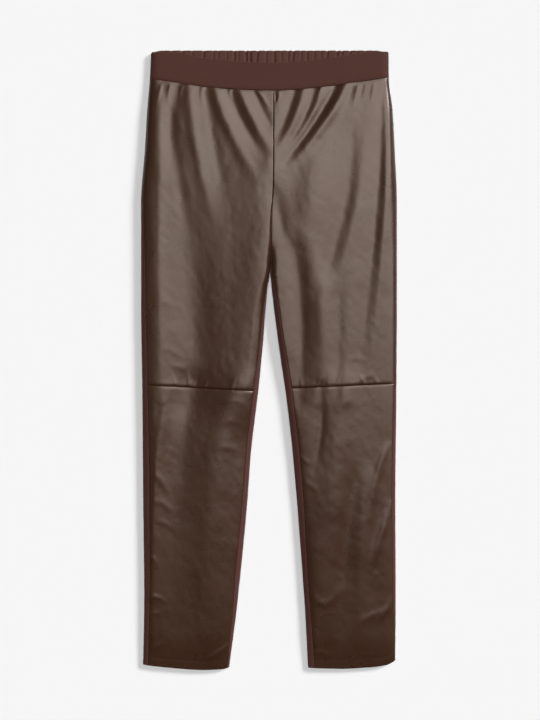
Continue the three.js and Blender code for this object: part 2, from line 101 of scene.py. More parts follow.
# Side edges of the outline
SIDE_EDGES = table(
    "y left right",
    (TOP, -191, 194),
    (455, -193.5, 194.5),
    (405, -197.5, 200.5),
    (340, -201.5, 204),
    (255, -HIP_WIDTH / 2, HIP_WIDTH / 2),
    (100, -HIP_WIDTH / 2, HIP_WIDTH / 2),
    (-65, -205.5, 206.5),
    (-230, -204, 205),
    (-390, -202.5, 205.5),
    (HEM, -204.5, 204.5),
)
# The line between the legs, and how far apart they lie
BETWEEN_LEGS = table(
    "y middle apart",
    (TOP, 7.5, 0),
    (300, 7.2, 0),
    (CROTCH, 4.6, 0),
    (FORK, 2, 0.2),
    (115, 0.9, 7.2),
    (16, 3.1, 27.5),
    (-65, 4.7, 47.7),
    (-146, 4.5, 66.6),
    (-230, 5.1, 80.4),
    (-390, 3.3, 108.2),
    (HEM, -0.8, 128.7),
)
# Where the side seam and the inside leg seam lie on the folds, in degrees up from the fold's
# outermost line; a minus sign puts the seam underneath
LEFT_SEAMS = table(
    "y side inside",
    (455, -35, 0),
    (340, 0, 0),
    (CROTCH, 28, 0),
    (FORK, 42, 10),
    (80, 46, 30),
    (-30, 50, 46),
    (-200, 56, 53),
    (-330, 55, 55),
    (-420, 55, 45),
    (HEM, 57, 34),
)
RIGHT_SEAMS = table(
    "y side inside",
    (455, -40, 0),
    (CROTCH, -25, 0),
    (FORK, -15, 37),
    (80, -8, 74),
    (20, 2, 74),
    (-30, 26, 74),
    (-85, 38, 69),
    (-200, 42, 66),
    (-350, 40, 54),
    (-420, 31, 57),
    (HEM, 4, 66),
)
# Height of the front above the table, before its folds, and how far in from a side fold or from
# the inner fold of each leg the front reaches it
FRONT_HEIGHTS = table(
    "y z shoulder left_inner right_inner",
    (TOP, 12.6, 13, 13, 13),
    (455, 13.2, 15, 15, 15),
    (390, 16.5, 17, 9, 9),
    (CROTCH, 17.5, 22, 6, 7),
    (FORK, 17.2, 23.5, 8.5, 11),
    (60, 16.8, 24, 20, 11.5),
    (0, 16.5, 24, 21, 14),
    (-300, 14.5, 22, 20, 19),
    (-440, 13.2, 19, 19, 18.5),
    (HEM, 9, 18, 18, 18),
)
# The front waistband's upper edge, and the waist seam under it
FRONT_WAIST = table(
    "x top seam",
    (-192, 498.5, 456),
    (-153, 498, 450),
    (-106, 489, 443),
    (-42, 483, 438),
    (7.5, 481, 436.7),
    (50, 483.5, 438.7),
    (97, 489, 444),
    (140, 496, 450),
    (161, 499, 452.7),
    (194.5, 499.5, 458),
)
# Hem edges of the two legs
LEFT_HEM = table("x y", (-205, -494), (-165, -498.5), (-105, HEM), (-75, -501), (-60, -497.5))
RIGHT_HEM = table("x y", (60, -499), (115, -500.5), (165, -498), (190, -494.5), (206, -487))

# Folds and creases of the front: a run from x0, y0 through x1, y1 to x2, y2, a half width, and
# heights at its start, middle and end. A plus height is a ridge and a minus height a trough.
FOLD_COLUMNS = "x0 y0 x1 y1 x2 y2 width start middle end"
FOLDS = table(
    FOLD_COLUMNS,
    # left hip: drag lines that fan out from the centre front up to the waistband
    (-143, 447, -159, 381, -156, 295, 10, -0.8, -1.5, 0),
    (-130, 447, -118, 348, -91, 219, 10, 1.5, 1.9, 0),
    (-102, 447, -91, 364, -70, 251, 10, -1, -1.5, 0),
    (-89, 447, -63, 373, -11, 275, 10, 1.7, 2.4, 0),
    (-68, 447, -42, 382, -2, 321, 8, -1.2, -1.8, 0),
    (-50, 447, -26, 390, 5, 337, 8, 1.4, 2.1, 0.3),
    (-29, 447, -11, 405, 6, 376, 6, -0.8, -1.3, -0.2),
    # right hip: the same fan
    (44, 447, 28, 395, 5, 343, 8, -1.2, -1.6, 0),
    (58, 447, 42, 392, 8, 327, 8, 1.2, 1.8, 0),
    (73, 447, 57, 392, 23, 340, 6, -0.7, -1.1, 0),
    (89, 447, 68, 392, 18, 321, 6, 0.9, 1.4, 0),
    (109, 450, 78, 392, 16, 311, 8, -1.6, -2.6, 0),
    (126, 450, 96, 392, 24, 301, 9, 2.2, 3, 0),
    # left thigh: a crest by each edge and a long hollow between them
    (-177, 428, -177, 194, -175, -65, 9, 0.8, 1.5, 1),
    (-157, 389, -147, 300, -128, 186, 12, -0.6, -1.6, 0),
    (-139, 292, -125, 113, -123, -65, 35, 0, -6.2, -3.6),
    (-15, 369, -8, 165, -34, -65, 41, 0.6, 6.2, 3.4),
    # right thigh
    (8, 364, 8, 316, 6, 267, 20, 0.3, 1.4, 0.3),
    (3, 292, 15, 243, 24, 186, 10, 0, -1.4, 0),
    (73, 356, 71, 267, 50, 178, 27, 0.6, 3.4, 0),
    (131, 392, 125, 259, 76, 113, 13, 0, -1.5, -0.9),
    (151, 392, 143, 259, 105, 122, 13, 0, 1.4, 0.7),
    (180, 447, 175, 275, 144, -19, 9, -0.4, -1.8, -0.3),
    (196, 447, 191, 259, 164, -23, 9, 0.4, 1.7, 0.3),
    (31, 214, 49, 97, 49, -65, 14, 0, -3.7, -1.8),
    (57, 214, 86, 89, 87, -65, 16, 0, 2.9, 1.4),
    (110, 194, 110, 89, 109, -65, 8, 0, -0.5, -0.3),
    (133, 194, 131, 89, 125, -65, 12, 0, 0.9, 1.2),
    # left lower leg
    (-160, -40, -181, -178, -193, -421, 9, 1, 1.5, 0.3),
    (-130, -40, -147, -186, -164, -405, 26, -3.2, -3.2, 0),
    (-50, -40, -86, -194, -102, -454, 24, 2.8, 3.4, 0.4),
    # right lower leg
    (29, -8, 45, -178, 66, -421, 15, -1, -2.2, -1),
    (84, -40, 83, -117, 70, -186, 7, -0.9, -1.4, 0),
    (117, -40, 109, -178, 78, -437, 26, 2.7, 4, 0.6),
    (144, -162, 125, -275, 115, -437, 12, 0, -2, -0.4),
    (160, -162, 152, -275, 147, -454, 12, 0, 2, 0.4),
)
CREASES = table(
    FOLD_COLUMNS,
    # puckers under the waistband
    (-175, 442, -177, 433, -180, 420, 3, 0.9, 0.8, 0.2),
    (-160, 442, -162, 433, -164, 416, 3, 1, 0.9, 0.2),
    (-141, 441, -143, 434, -144, 424, 2.6, 0.8, 0.6, 0.1),
    (-107, 441, -109, 429, -105, 411, 3, 0.9, 0.7, 0.2),
    (-63, 437, -63, 431, -60, 420, 2.6, 0.9, 0.8, 0.1),
    (-18, 434, -11, 426, -2, 410, 3.5, 1, 1, 0.3),
    (16, 434, 16, 426, 13, 415, 3, 0.9, 1, 0.2),
    (10, 431, 11, 424, 10, 416, 2.4, -0.8, -0.9, -0.2),
    (84, 441, 79, 429, 76, 420, 3, 0.9, 0.6, 0.2),
    (99, 441, 96, 433, 91, 421, 2.6, 0.7, 0.5, 0.1),
    (134, 442, 131, 431, 126, 415, 3, -0.9, -0.8, -0.2),
    (144, 442, 141, 431, 136, 411, 3, 1, 0.9, 0.2),
    (152, 444, 149, 433, 147, 420, 2.6, -0.6, -0.5, -0.1),
    (170, 444, 168, 433, 165, 416, 3, 0.7, 0.6, 0.1),
    (186, 444, 185, 431, 183, 415, 3, -0.5, -0.6, -0.1),
    # soft wrinkles across the legs
    (-177, 94, -164, 92, -147, 81, 5, 0, 0.2, 0),
    (-170, 55, -154, 47, -134, 31, 6, 0, 0.25, 0),
    (-172, 18, -157, 15, -136, 0, 5, 0, 0.3, 0),
    (-160, -10, -147, -10, -133, -18, 5, 0, 0.3, 0),
    (-112, 87, -99, 83, -86, 89, 3, 0, -0.3, 0),
    (-81, -71, -60, -65, -37, -73, 5, 0, 0.3, 0),
    (-84, -104, -62, -99, -39, -107, 5, 0, 0.25, 0),
    (-92, -147, -70, -141, -45, -151, 6, 0, 0.35, 0),
    (-188, -185, -175, -194, -162, -217, 6, 0.4, 0.8, 0.1),
    (-191, -227, -172, -232, -149, -253, 6, 0.1, 0.5, 0),
    (-183, -261, -168, -264, -157, -277, 5, 0, 0.4, 0),
    (-196, -319, -185, -324, -177, -343, 4, 0.4, 0.4, 0),
    (-194, -386, -180, -384, -164, -395, 4, 0.6, 0.6, 0),
    (-196, -416, -185, -410, -170, -415, 4, 0.4, 0.4, 0),
    (-97, -483, -76, -470, -60, -457, 4, 0.4, 0.9, 0.3),
    (-196, -476, -181, -463, -164, -455, 4, 0.3, 0.5, 0),
    # right leg: wrinkles by the knee seam and down the outside
    (123, -5, 141, 3, 160, -5, 5, 0, 0.35, 0),
    (138, -40, 154, -29, 173, -24, 5, 0.2, 0.4, 0),
    (49, -156, 57, -162, 68, -172, 4, 0.3, 0.4, 0),
    (55, -198, 68, -204, 84, -219, 5, 0.1, 0.25, 0),
    (193, -139, 172, -198, 162, -284, 6.5, 0.7, 1.6, 0.2),
    (199, -235, 180, -288, 165, -334, 6.5, 0.8, 1.5, 0.2),
    (73, -379, 91, -394, 112, -373, 6.5, 0.1, 0.7, 0.1),
    (141, -429, 164, -415, 185, -407, 7, 0.1, 0.8, 0.3),
    (177, -421, 191, -405, 199, -386, 6, 0.4, 0.9, 0.5),
    (66, -480, 84, -473, 102, -484, 4, 0, 0.4, 0),
    # puckers above the knee seams
    (-152, -39, -154, -32, -159, -18, 3, 0.8, 0.5, 0),
    (-131, -40, -130, -32, -134, -16, 3.5, 0.9, 0.7, 0),
    (-117, -42, -115, -34, -113, -23, 3, -0.5, -0.3, 0),
    (-104, -44, -102, -37, -100, -28, 2.6, 0.6, 0.4, 0),
    (-60, -47, -58, -39, -53, -26, 3, 0.7, 0.4, 0),
    (-39, -49, -37, -40, -32, -32, 2.6, 0.5, 0.3, 0),
    (53, -42, 52, -34, 49, -23, 3, 0.6, 0.4, 0),
    (79, -42, 81, -34, 84, -23, 3, 0.7, 0.5, 0),
    (91, -40, 92, -32, 97, -19, 3, -0.6, -0.4, 0),
    (110, -40, 112, -32, 117, -23, 2.6, 0.5, 0.3, 0),
    (154, -39, 151, -32, 143, -19, 3, 0.9, 0.6, 0),
    (175, -37, 172, -31, 165, -23, 3, 0.6, 0.4, 0),
)

# Soft bumps of the laid leather: height, size across and along, how much they lean, and a seed
LEATHER_BUMPS = table(
    "height across along lean seed",
    (0.22, 24, 34, 0, 3),
    (0.13, 9, 14, 0.4, 8),
    (0.05, 4.5, 7, -0.5, 9),
)

# Gathers of the back waistband: place, half width, depth of the groove, and how far it leans
# over to the right up the band
GATHERS = table(
    "x width depth lean",
    (-171, 1.4, 0.8, 1),
    (-158, 1.6, 1.1, -1),
    (-141, 1.5, 1.4, 0),
    (-124.7, 1.4, 1.3, 0),
    (-106.5, 1.6, 1.7, 2),
    (-90.7, 1.2, 0.9, 0),
    (-82.6, 1.1, 1, 1),
    (-69, 1.1, 0.8, 0),
    (-56.7, 1.6, 1.6, 1),
    (-50, 1, 1, 0),
    (-37.3, 1.5, 1.9, -1),
    (-30.8, 1.4, 1.9, 1),
    (-19.4, 1.5, 1.9, 5),
    (-4.9, 1.4, 1.3, 1),
    (8, 1.7, 1.5, 0),
    (20, 1.1, 0.9, 0),
    (30.8, 1.4, 1.3, 0),
    (38.9, 1.6, 1.9, 6),
    (52, 1.2, 0.9, 0),
    (61.6, 1.4, 1.3, 1),
    (72.9, 1.5, 1, 0),
    (84, 1.1, 0.9, 0),
    (94, 1.5, 1.8, 2),
    (110.2, 1.4, 1.8, 0),
    (118.3, 1.2, 1.7, -1),
    (131.2, 1.4, 1.6, 0),
    (142.6, 1.1, 1.1, 1),
    (156, 1.5, 1.1, 0),
    (170, 1.4, 0.8, 0),
)


def mix(a, b, share):
    return a + (b - a) * share


def smooth(value, low, high):
    """Rises from 0 to 1 as the value goes from low to high."""
    t = np.clip((value - low) / (high - low), 0, 1)
    return t * t * (3 - 2 * t)


def line_through(rows, key, value):
    """A smooth line through a table's rows that never runs past them."""
    order = np.argsort(rows[key])
    at, values = rows[key][order], rows[value][order]
    slopes = np.diff(values) / np.diff(at)
    before, after = slopes[:-1], slopes[1:]
    same_way = before * after > 0
    inner = np.where(same_way, 2 * before * after / np.where(same_way, before + after, 1), 0)
    tangents = np.concatenate([slopes[:1], inner, slopes[-1:]])

    def value_at(place):
        p = np.clip(place, at[0], at[-1])
        i = np.clip(np.searchsorted(at, p) - 1, 0, len(at) - 2)
        span = at[i + 1] - at[i]
        t = (p - at[i]) / span
        low = (1 + 2 * t) * (1 - t) ** 2 * values[i] + t * (1 - t) ** 2 * span * tangents[i]
        high = t * t * (3 - 2 * t) * values[i + 1] - t * t * (1 - t) * span * tangents[i + 1]
        return low + high

    return value_at


front_height = line_through(FRONT_HEIGHTS, "y", "z")
outer_shoulder = line_through(FRONT_HEIGHTS, "y", "shoulder")
front_top = line_through(FRONT_WAIST, "x", "top")
front_seam = line_through(FRONT_WAIST, "x", "seam")
left_edge = line_through(SIDE_EDGES, "y", "left")
right_edge = line_through(SIDE_EDGES, "y", "right")
between_legs = line_through(BETWEEN_LEGS, "y", "middle")
legs_apart = line_through(BETWEEN_LEGS, "y", "apart")


def back_seam(x):
    """Level of the waist seam behind, which runs straight between the side seams."""
    left, right = left_edge(WAIST), right_edge(WAIST)
    return mix(front_seam(left), front_seam(right), (x - left) / (right - left))


# The flattened tubes


def leg_tube(name, side, seams, hem, knee_height, knee_slope):
    """One side of the garment: half the hips above the crotch, and a whole leg below it."""
    shoulder = line_through(FRONT_HEIGHTS, "y", f"{name}_inner")
    side_seam = line_through(seams, "y", "side")
    inside_seam = line_through(seams, "y", "inside")

    def joined_front(y):
        return smooth(y, CROTCH, CROTCH + CLEFT_RISE)

    def joined_back(y):
        return smooth(y, CROTCH, CROTCH + SEAT_RISE)

    def narrowed(y):
        return smooth(y, CROTCH - CLEFT_START, CROTCH + CLEFT_RISE)

    def inner_fold(y):
        climb = smooth(y, FORK, CROTCH - CLIMB_END)
        return mix(FOLD_HEIGHT, front_height(y) - GROOVE_DEPTH, climb)

    return SimpleNamespace(
        name=name,
        side=side,
        outer=line_through(SIDE_EDGES, "y", name),
        inner=lambda y: between_legs(y) + side * (legs_apart(y) / 2 + LAID_CLOSE),
        inner_shoulder=lambda y: mix(shoulder(y), GROOVE_WIDTH, narrowed(y)),
        inner_roundness=lambda y: 1 - joined_front(y),
        inner_end=inner_fold,
        inner_roll=lambda y: mix(FOLD_ROLL, 4 * FOLD_ROLL, joined_back(y)),
        inner_under=lambda y: mix(inner_fold(y), 0, joined_back(y)),
        side_place=lambda y: 3 - side_seam(y) / 90,
        inside_place=lambda y: np.where(y >= CROTCH, 0, inside_seam(y) / 90),
        hem=line_through(hem, "x", "y"),
        knee=lambda x: knee_height + knee_slope * x,
    )


def steady(value):
    """A line that keeps one value all along."""
    return lambda place: value + 0 * place


left_leg = leg_tube("left", -1, LEFT_SEAMS, LEFT_HEM, knee_height=-51.4, knee_slope=-0.055)
right_leg = leg_tube("right", 1, RIGHT_SEAMS, RIGHT_HEM, knee_height=-47.3, knee_slope=0.045)
band_tube = SimpleNamespace(
    side=-1,
    outer=left_edge,
    inner=right_edge,
    inner_shoulder=outer_shoulder,
    inner_roundness=steady(1),
    inner_end=steady(FOLD_HEIGHT),
    inner_roll=steady(FOLD_ROLL),
    inner_under=steady(FOLD_HEIGHT),
)

# Places round the tube of the waistband's side seams, in line with the garment's side seams,
# which lie 35 and 40 degrees under the folds there
BAND_LEFT = 3 + 35 / 90
BAND_RIGHT = 6 - 40 / 90

QUARTER_TURN = np.pi / 2


def tube_section(tube, y, place):
    """X and Z of the section at level y, and how much of the front's folds is felt there.

    `place` runs round the tube: 0 to 1 is the inner shoulder, to 2 the front, to 3 the outer
    shoulder, to 4 the roll under it, to 5 the back, to 6 the inner roll, and past 6 the inner
    shoulder again.
    """
    w = np.where(place > 6, place - 6, place)
    side, outer, inner, front = tube.side, tube.outer(y), tube.inner(y), front_height(y)
    shoulder_out = outer - side * outer_shoulder(y)
    shoulder_in = inner + side * tube.inner_shoulder(y)
    roll_out = outer - side * FOLD_ROLL
    roll_in = inner + side * tube.inner_roll(y)
    rounded = tube.inner_roundness(y)
    across = mix(w, 1 - np.cos(w * QUARTER_TURN), rounded)
    up = mix(1 - (1 - w) ** 2, np.sin(w * QUARTER_TURN), rounded)
    over = (3 - w) * QUARTER_TURN
    under = (w - 3) * QUARTER_TURN
    back_up = (6 - w) * QUARTER_TURN
    stretches = [w <= 1, w <= 2, w <= 3, w <= 4, w <= 5]
    x = np.select(
        stretches,
        [
            mix(inner, shoulder_in, across),
            mix(shoulder_in, shoulder_out, w - 1),
            mix(shoulder_out, outer, np.cos(over)),
            mix(roll_out, outer, np.cos(under)),
            mix(roll_out, roll_in, w - 4),
        ],
        mix(roll_in, inner, np.cos(back_up)),
    )
    z = np.select(
        stretches,
        [
            mix(tube.inner_end(y), front, up),
            front,
            mix(FOLD_HEIGHT, front, np.sin(over)),
            FOLD_HEIGHT * (1 - np.sin(under)),
            0 * w,
        ],
        tube.inner_under(y) * (1 - np.sin(back_up)),
    )
    felt = np.select(stretches[:3], [mix(1 - rounded, 1, up), 1 + 0 * w, np.sin(over) ** 2], 0)
    return x, z, felt


# Folds


def fold_height(folds, x, y, side):
    """Height that a table of folds adds at each place of one side of the garment.

    Each fold fades out evenly to both sides of its run, which is followed in short straight
    steps. Below the crotch a fold stays on its own leg.
    """
    height = np.zeros_like(x)
    steps = 14
    for x0, y0, x1, y1, x2, y2, width, start, middle, end in zip(*folds.values()):
        bend_x, bend_y = 2 * x1 - (x0 + x2) / 2, 2 * y1 - (y0 + y2) / 2
        t = np.linspace(0, 1, steps + 1)
        run_x = (1 - t) ** 2 * x0 + 2 * t * (1 - t) * bend_x + t * t * x2
        run_y = (1 - t) ** 2 * y0 + 2 * t * (1 - t) * bend_y + t * t * y2
        reach = 2.6 * width  # the fold has all but died out here
        near = (x > run_x.min() - reach) & (x < run_x.max() + reach)
        near &= (y > run_y.min() - reach) & (y < run_y.max() + reach)
        if not near.any():
            continue
        px, py = x[near], y[near]
        nearest = np.full(px.shape, np.inf)
        along = np.zeros(px.shape)
        for i in range(steps):
            dx, dy = run_x[i + 1] - run_x[i], run_y[i + 1] - run_y[i]
            share = ((px - run_x[i]) * dx + (py - run_y[i]) * dy) / (dx * dx + dy * dy)
            share = np.clip(share, 0, 1)
            away = np.hypot(px - run_x[i] - share * dx, py - run_y[i] - share * dy)
            closer = away < nearest
            nearest = np.where(closer, away, nearest)
            along = np.where(closer, (i + share) / steps, along)
        rise = start * (1 - along) * (1 - 2 * along) + middle * 4 * along * (1 - along)
        rise += end * along * (2 * along - 1)
        if side * (x1 - between_legs(y1)) < 0:
            rise = rise * smooth(py, CROTCH, CROTCH + FOLD_SPILL)
        height[near] += rise * np.exp(-((nearest / width) ** 2))
    return height


def unevenness(x, y, size_x, size_y, seed):
    """Soft bumps from -1 to 1, about size_x by size_y apart."""
    heights = np.random.default_rng(seed).uniform(-1, 1, (90, 90))
    u, v = x / size_x + 45, y / size_y + 45
    i, j = np.floor(u).astype(int), np.floor(v).astype(int)
    s, t = smooth(u - i, 0, 1), smooth(v - j, 0, 1)
    low = mix(heights[i % 90, j % 90], heights[(i + 1) % 90, j % 90], s)
    high = mix(heights[i % 90, (j + 1) % 90], heights[(i + 1) % 90, (j + 1) % 90], s)
    return mix(low, high, t)


def leather_relief(x, y, side):
    height = fold_height(FOLDS, x, y, side) + fold_height(CREASES, x, y, side)
    for bump, across, along, lean, seed in zip(*LEATHER_BUMPS.values()):
        height += bump * unevenness(x + lean * y, y - lean * x, across, along, int(seed))
    return height


def back_relief(x, y):
    """Shallow hollows under the cloth that lies on the table, up to 0.9 mm deep or so."""
    waves = unevenness(x, y, 45, 120, 5) + 0.5 * unevenness(x, y, 22, 50, 6)
    return 0.9 * np.clip(waves, 0, 1) ** 2


def gather_grooves(x, y):
    """Depth of the back waistband's gather grooves, which turn about four fifths up the band."""
    depth = np.zeros_like(x)
    height = (y - back_seam(x)) / (TOP - WAIST)
    for place, width, groove, lean in zip(*GATHERS.values()):
        middle = place + lean * (height - 0.8)
        depth = np.maximum(depth, groove * np.exp(-((np.abs(x - middle) / width) ** 1.6)))
    return depth


# Panels


def spaced(total, count):
    """Distances from 0 to each total: so many, and more close together at both ends."""
    total = np.asarray(total, float)[..., None]
    inside = np.linspace(0, 1, count + 2)[1:-1]
    first = np.broadcast_to(EDGE_STEPS, total.shape[:-1] + EDGE_STEPS.shape)
    middle = EDGE_STEPS[-1] + (total - 2 * EDGE_STEPS[-1]) * inside
    return np.concatenate([first, middle, total - EDGE_STEPS[::-1]], axis=-1)


def edge_drop(distance, radius):
    """How far a rounded edge of this radius has turned down at a distance from its end."""
    t = np.clip(1 - distance / radius, 0, 1)
    return radius * (1 - np.sqrt(1 - t * t))


def panel_grid(tube, start, end, top, bottom, high, low, spacing):
    """Places of a panel's points round the tube and along it, evenly spaced over the cloth.

    The section is measured on levels about 4 mm apart, which reach past the panel's bowed ends.
    """
    bow = 12
    levels = np.linspace(low - bow, high + bow, int((high - low) / 4))
    share = np.linspace(0, 1, 900)
    places = mix(start(levels)[:, None], end(levels)[:, None], share)
    x, z, _ = tube_section(tube, levels[:, None] + 0 * places, places)
    steps = np.hypot(np.diff(x, axis=1), np.diff(z, axis=1))
    along = np.concatenate([np.zeros((len(levels), 1)), np.cumsum(steps, axis=1)], axis=1)
    columns = int(along[:, -1].max() / spacing)
    across = spaced(along[:, -1], columns)
    column_places = np.array([np.interp(d, a, p) for d, a, p in zip(across, along, places)])
    rows = int((high - low) / spacing)
    down = spaced(high - low, rows)
    share = (down / (high - low))[:, None]

    def at_levels(values, level):
        each = [np.interp(level[:, c], levels, values[:, c]) for c in range(values.shape[1])]
        return np.stack(each, axis=1)

    # The ends bow with x, and x shifts with the level, so a few rounds let both settle
    level = np.repeat((high - down)[:, None], across.shape[1], axis=1)
    for _ in range(5):
        place = at_levels(column_places, level)
        x = tube_section(tube, level, place)[0]
        bend = (top(x) - high) * (1 - share) ** 3 + (bottom(x) - low) * share**3
        level = high - down[:, None] + bend
    place = at_levels(column_places, level)
    return SimpleNamespace(
        place=place,
        y=level,
        from_start=at_levels(across, level),
        from_end=at_levels(along[:, -1:] - across, level),
        from_top=np.broadcast_to(down[:, None], level.shape),
        from_bottom=np.broadcast_to((high - low) - down[:, None], level.shape),
    )


def outward(points, side):
    """Unit vectors out of the cloth at a grid of points."""
    across = np.gradient(points, axis=1)
    down = np.gradient(points, axis=0)
    out = np.cross(across, down) * -side
    return out / np.linalg.norm(out, axis=2, keepdims=True)


def closed_wall(name, outer, inner, side, uv, materials):
    """A closed wall from the grids of its outer and inner faces. The first material is on its
    outer face and edges, and the second on its inner face."""
    rows, columns = outer.shape[:2]
    index = np.arange(rows * columns).reshape(rows, columns)
    behind = index + rows * columns

    def quads(a, b, c, d):
        return np.stack([a, b, c, d], axis=-1).reshape(-1, 4)

    front = quads(index[:-1, :-1], index[:-1, 1:], index[1:, 1:], index[1:, :-1])
    back = quads(behind[:-1, :-1], behind[1:, :-1], behind[1:, 1:], behind[:-1, 1:])
    rims = [
        quads(index[0, 1:], index[0, :-1], behind[0, :-1], behind[0, 1:]),
        quads(index[-1, :-1], index[-1, 1:], behind[-1, 1:], behind[-1, :-1]),
        quads(index[:-1, 0], index[1:, 0], behind[1:, 0], behind[:-1, 0]),
        quads(index[1:, -1], index[:-1, -1], behind[:-1, -1], behind[1:, -1]),
    ]
    faces = np.concatenate([front, *rims, back])
    if side > 0:
        faces = faces[:, ::-1]
    points = np.concatenate([outer.reshape(-1, 3), inner.reshape(-1, 3)]) * MM
    mesh = bpy.data.meshes.new(name)
    mesh.from_pydata(points.tolist(), [], faces.tolist())
    layer = mesh.uv_layers.new(name="Cloth")
    both = np.concatenate([uv.reshape(-1, 2), uv.reshape(-1, 2)]) * MM
    layer.data.foreach_set("uv", both[faces].ravel())
    for material in materials:
        mesh.materials.append(material)
    slots = np.zeros(len(faces), int)
    slots[-len(back):] = 1
    mesh.polygons.foreach_set("material_index", slots)
    mesh.shade_smooth()
    mesh.set_sharp_from_angle(angle=SHARP_ANGLE)
    piece = bpy.data.objects.new(name, mesh)
    bpy.context.scene.collection.objects.link(piece)
    return piece


def cloth(name, tube, grid, relief, wall, folded_edges, seam_edges, materials):
    """A cloth panel. Its seam edges turn down and its folded edges are round."""
    x, z, felt = tube_section(tube, grid.y, grid.place)
    points = np.stack([x, grid.y, z + relief(x, grid.y, grid.place, felt)], axis=-1)
    out = outward(points, tube.side)
    thickness = wall(x, grid.y)
    drop = np.zeros_like(x)
    turned = np.zeros_like(x)
    for edge in seam_edges:
        distance = getattr(grid, edge)
        drop = np.maximum(drop, edge_drop(distance, SEAM_EDGE))
        turned = np.maximum(turned, 1 - smooth(distance, SEAM_TURNING - 1, SEAM_TURNING))
    thickness = np.maximum(thickness, SEAM_THICKNESS * turned)
    inner_drop = np.zeros_like(x)
    for edge in folded_edges:
        round_edge = FOLD_ROUNDNESS * edge_drop(getattr(grid, edge), thickness / 2)
        drop = np.maximum(drop, round_edge)
        inner_drop = np.maximum(inner_drop, round_edge)
    outer = points - out * drop[..., None]
    inner = points - out * (thickness - inner_drop)[..., None]
    uv = np.stack([grid.from_start, grid.y], axis=-1)
    return closed_wall(name, outer, inner, tube.side, uv, materials)


# Pieces

WAIST_SINK = {"depth": 0.9, "softness": 3}
KNEE_SINK = {"depth": 0.7, "softness": 2}
STITCH_SINK = {"depth": 0.25, "softness": 1.2}


def sink(distance, depth, softness):
    """How a seam draws the cloth down at a distance from it."""
    return -depth * np.exp(-((distance / softness) ** 2))


def leg_sink(leg, x, y, place):
    """The upper side sinks along its crossways seams and along the hem's stitching, and no
    longer does so round the side fold."""
    w = np.where(place > 6, place - 6, place)
    on_top = np.where(w < 2, smooth(w, 0, 0.5), smooth(3 - w, 0.3, 0.9))
    seams = sink(front_seam(x) - y, **WAIST_SINK) + sink(y - leg.knee(x), **KNEE_SINK)
    return on_top * (seams + sink(y - leg.hem(x) - HEM_DEPTH, **STITCH_SINK))


def leg_relief(leg):
    """Height of the folds, seams and hollows of a leg over its plain tube."""

    def relief(x, y, place, felt):
        lying = smooth(place, 3.95, 4.1) * (1 - smooth(place, 4.9, 5.05))
        folds = felt * leather_relief(x, y, leg.side)
        return folds + leg_sink(leg, x, y, place) + lying * back_relief(x, y)

    return relief


def even_wall(wall):
    return lambda x, y: wall + 0 * x


def hem_wall(leg, wall):
    """A wall that is thicker below the stitching, where the hem is turned up."""

    def thickness(x, y):
        single = smooth(y - leg.hem(x), HEM_DEPTH - 0.8, HEM_DEPTH + 0.4)
        return mix(HEM_THICKNESS * wall, wall, single)

    return thickness


def front_upper(leg, materials):
    start, end = leg.inside_place, leg.side_place
    grid = panel_grid(leg, start, end, front_seam, leg.knee, WAIST, KNEE, FRONT_SPACING)
    seams = ["from_start", "from_end", "from_top", "from_bottom"]
    wall = even_wall(LEATHER_WALL)
    name = f"leather_upper_{leg.name}"
    return cloth(name, leg, grid, leg_relief(leg), wall, [], seams, materials)


def front_lower(leg, materials):
    start, end = leg.inside_place, leg.side_place
    grid = panel_grid(leg, start, end, leg.knee, leg.hem, KNEE, HEM, FRONT_SPACING)
    seams = ["from_start", "from_end", "from_top"]
    wall = hem_wall(leg, LEATHER_WALL)
    name = f"leather_lower_{leg.name}"
    return cloth(name, leg, grid, leg_relief(leg), wall, ["from_bottom"], seams, materials)


def back(leg, materials):
    def inside_seam(y):
        return 6 + leg.inside_place(y)

    start, end = leg.side_place, inside_seam
    grid = panel_grid(leg, start, end, back_seam, leg.hem, WAIST, HEM, BACK_SPACING)
    seams = ["from_start", "from_end", "from_top"]
    wall = hem_wall(leg, JERSEY_WALL)
    name = f"jersey_back_{leg.name}"
    return cloth(name, leg, grid, leg_relief(leg), wall, ["from_bottom"], seams, materials)


def front_band(materials):
    bow = 10  # the band's middle hangs lower than its ends, so the grid is laid out lower too
    start, end, high, low = steady(BAND_RIGHT), steady(6 + BAND_LEFT), TOP - bow, WAIST - bow
    grid = panel_grid(band_tube, start, end, front_top, front_seam, high, low, BAND_SPACING)

    def relief(x, y, place, felt):
        soft = 0.25 * unevenness(x, y, 40, 18, 12) + 0.1 * unevenness(x, y, 14, 10, 13)
        return felt * (soft + sink(y - front_seam(x), **WAIST_SINK))

    wall = even_wall(BAND_WALL)
    seams = ["from_start", "from_end", "from_bottom"]
    return cloth("band_front", band_tube, grid, relief, wall, ["from_top"], seams, materials)


def back_band(materials):
    """The gathered waistband. Its elastic and its gathers end by the side seams."""

    def top(x):
        return TOP - 2.5 * smooth(np.abs(x), 172, 190) - 0.5 * gather_grooves(x, TOP + 0 * x)

    def lying(x):
        return 1 - smooth(np.abs(x), 176, 186)

    start, end = steady(BAND_LEFT), steady(BAND_RIGHT)
    grid = panel_grid(band_tube, start, end, top, back_seam, TOP, WAIST, GATHER_SPACING)

    def relief(x, y, place, felt):
        return 0.35 * lying(x) * gather_grooves(x, y)

    def wall(x, y):
        full = mix(ELASTIC_WALL, BAND_WALL, smooth(np.abs(x), 172, 188))
        puffs = 0.7 + 0.35 * unevenness(x, y, 8, 30, 15)
        return full + lying(x) * (puffs - 1.45 * gather_grooves(x, y))

    seams = ["from_start", "from_end", "from_bottom"]
    return cloth("band_back", band_tube, grid, relief, wall, ["from_top"], seams, materials)


# Hem stitches


